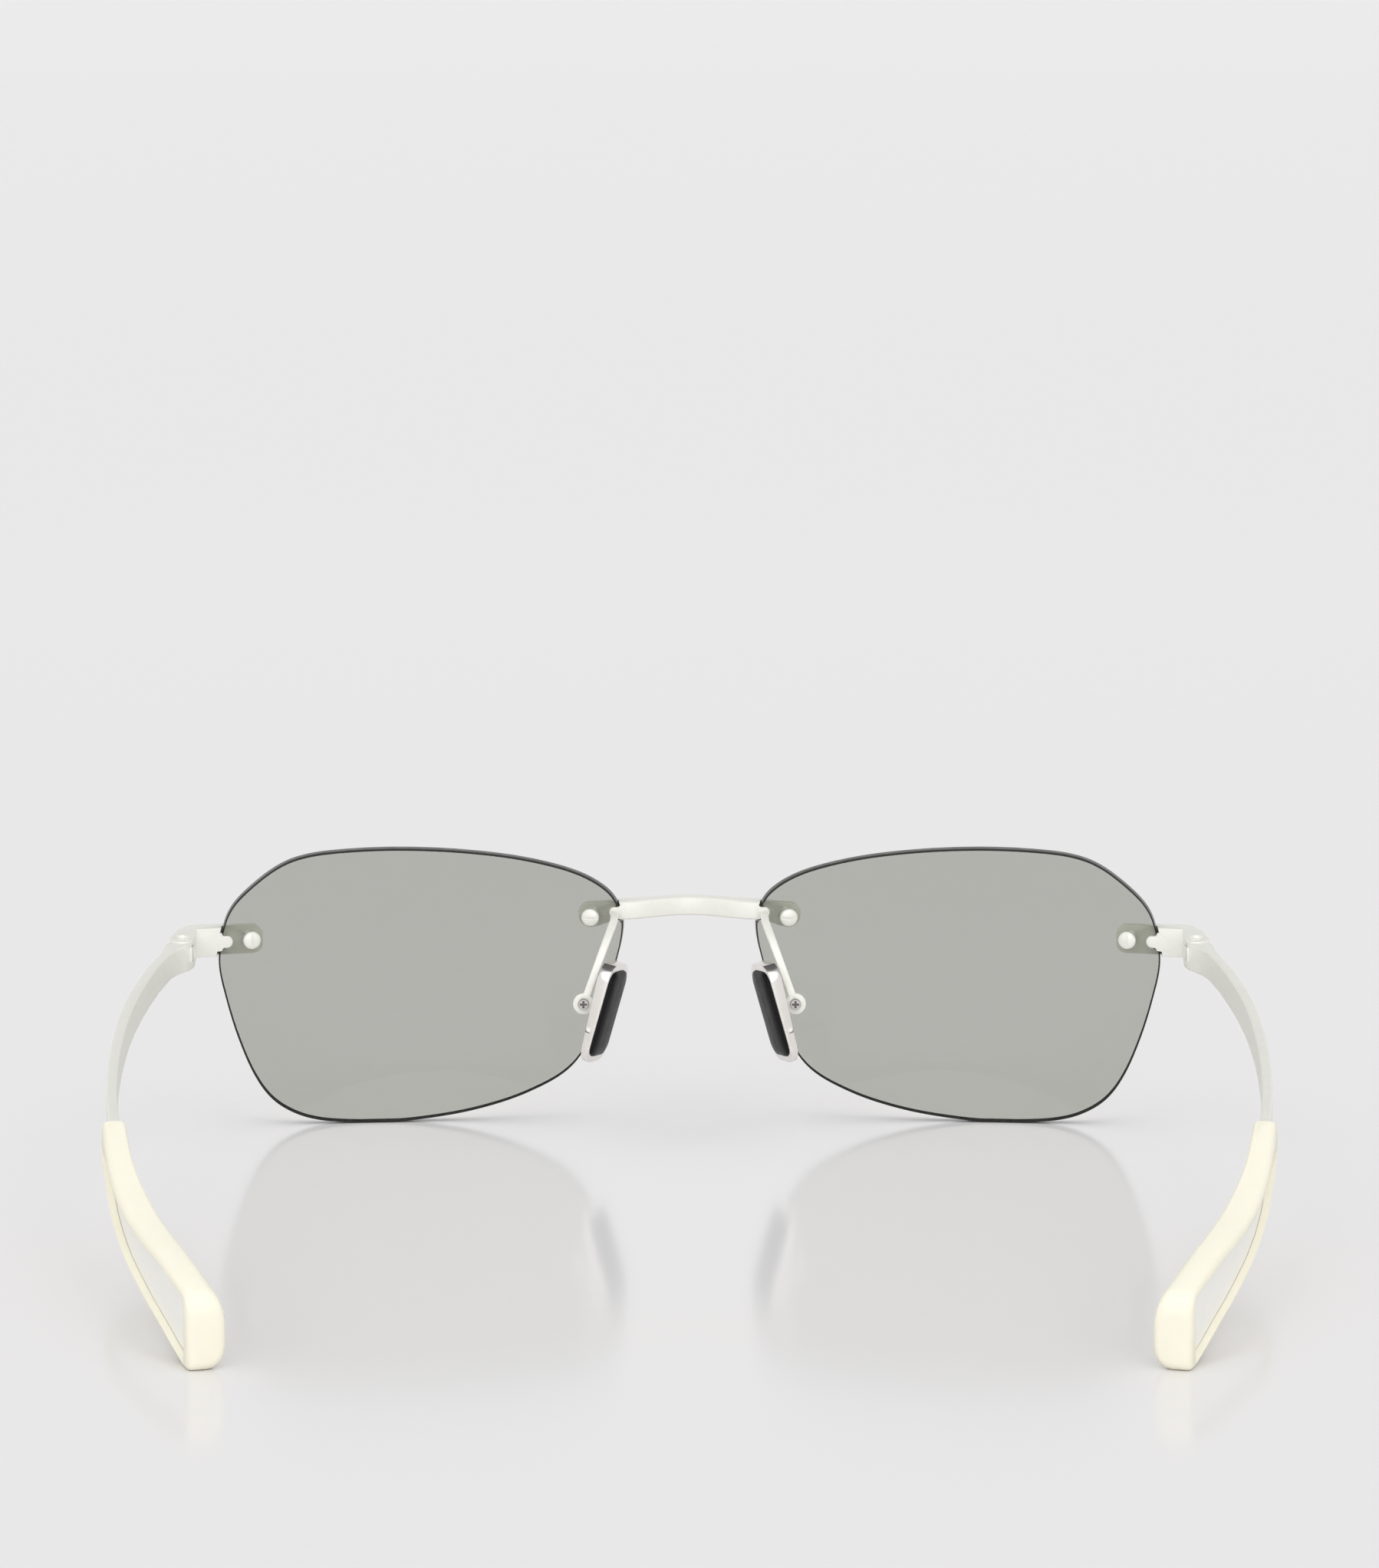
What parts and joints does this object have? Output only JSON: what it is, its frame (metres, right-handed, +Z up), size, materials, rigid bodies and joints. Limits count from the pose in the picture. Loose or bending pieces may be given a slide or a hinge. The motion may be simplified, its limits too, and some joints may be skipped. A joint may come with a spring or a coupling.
{
  "type": "sunglasses",
  "caption": "Rimless sunglasses with curved grey lenses bolted to a metal bridge, fine nose pads on wire arms, and folding metal temples with rubber tips.",
  "frame": {"origin": "the middle of the object's box at its base: on the table plane, midway between the lenses and the temple tips", "axes": "+X to the wearer's right, +Y forwards out of the lenses' front, +Z up"},
  "size_m": [0.1522, 0.1492, 0.0384],
  "materials": {
    "smoke_lens": "polished tinted clear plastic",
    "white_metal": "satin pale titanium",
    "silver": "fine brushed",
    "cream_rubber": "smooth matt",
    "black_rubber": "smooth matt",
    "clear_nylon": "clear moulded"
  },
  "bodies": {
    "front": {"bridge": "white_metal", "lens_left": "smoke_lens", "lens_right": "smoke_lens", "endpiece_left": "white_metal", "endpiece_right": "white_metal", "nasal_bolt_left": "white_metal", "nasal_bolt_right": "white_metal", "temporal_bolt_left": "white_metal", "temporal_bolt_right": "white_metal", "nasal_sleeve_left": "clear_nylon", "nasal_sleeve_right": "clear_nylon", "temporal_sleeve_left": "clear_nylon", "temporal_sleeve_right": "clear_nylon", "pad_arm_left": "white_metal", "pad_arm_right": "white_metal", "hinge_screw_left": "silver", "hinge_screw_right": "silver"},
    "left_temple": {"temple_left": "white_metal", "temple_tip_left": "cream_rubber"},
    "right_temple": {"temple_right": "white_metal", "temple_tip_right": "cream_rubber"},
    "left_nose_pad": {"pad_frame_left": "silver", "pad_cushion_left": "black_rubber", "pad_screw_left": "silver"},
    "right_nose_pad": {"pad_frame_right": "silver", "pad_cushion_right": "black_rubber", "pad_screw_right": "silver"}
  },
  "joints": [
    {"name": "left_temple_fold", "type": "hinge", "parent": "front", "child": "left_temple", "pos_m": [-0.0694, 0.0634, 0.0253], "axis": [0, 0, 1], "range_deg": [0, 79]},
    {"name": "right_temple_fold", "type": "hinge", "parent": "front", "child": "right_temple", "pos_m": [0.0694, 0.0634, 0.0253], "axis": [0, 0, -1], "range_deg": [0, 84]},
    {"name": "left_pad_tilt", "type": "hinge", "parent": "front", "child": "left_nose_pad", "pos_m": [-0.0145, 0.0626, 0.0183], "axis": [0, 1, 0], "range_deg": [-8, 8]},
    {"name": "right_pad_tilt", "type": "hinge", "parent": "front", "child": "right_nose_pad", "pos_m": [0.0145, 0.0626, 0.0183], "axis": [0, 1, 0], "range_deg": [-8, 8]}
  ]
}
